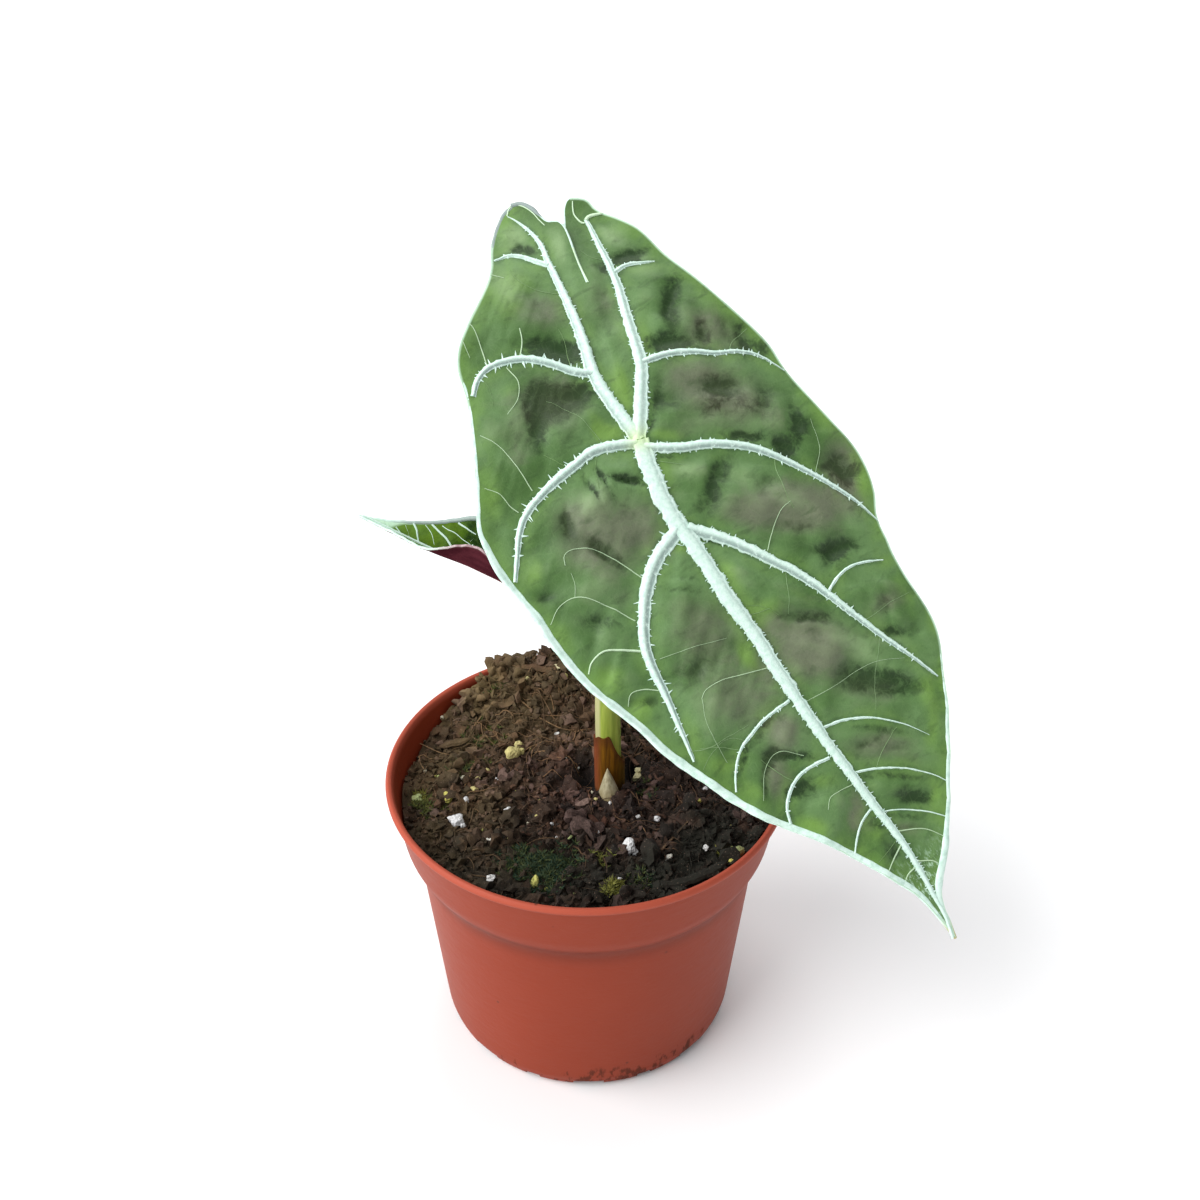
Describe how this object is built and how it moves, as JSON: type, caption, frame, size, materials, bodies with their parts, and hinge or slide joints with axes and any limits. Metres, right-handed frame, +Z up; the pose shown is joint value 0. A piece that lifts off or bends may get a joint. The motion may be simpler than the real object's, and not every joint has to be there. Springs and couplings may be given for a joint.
{
  "type": "potted alocasia watsoniana",
  "caption": "Young jewel alocasia with an arrow-shaped, pale-ribbed quilted leaf and a small folded leaf, in a round clay-coloured plastic nursery pot with soil.",
  "frame": {"origin": "centre of the pot's base, on the surface it stands on", "axes": "+Z up along the pot's axis, -Y towards the viewer, +X to the viewer's right, where the large leaf points"},
  "size_m": [0.1178, 0.0907, 0.1727],
  "materials": {
    "pot_plastic": "moulded clay-red plastic with a soft sheen, light scuffs and soil marks",
    "soil": "chunky peat, bark and perlite, moist, with moss",
    "corm": "brown corm with fleshy roots",
    "stalk": "smooth living stalk, yellow-green with a pale strip",
    "sheath": "dry papery sheath, rust brown",
    "shoot": "pale green-white new shoot",
    "leaf": "quilted leathery blade with a satin gloss, mint-white ribs and margin, maroon underside"
  },
  "bodies": {
    "root": {"pot": "pot_plastic", "soil": "soil", "corm": "corm", "large_stem": "stalk", "small_stem": "stalk", "sheath": "sheath", "new_shoot": "shoot", "large_leaf": "leaf", "small_leaf": "leaf"}
  },
  "joints": []
}
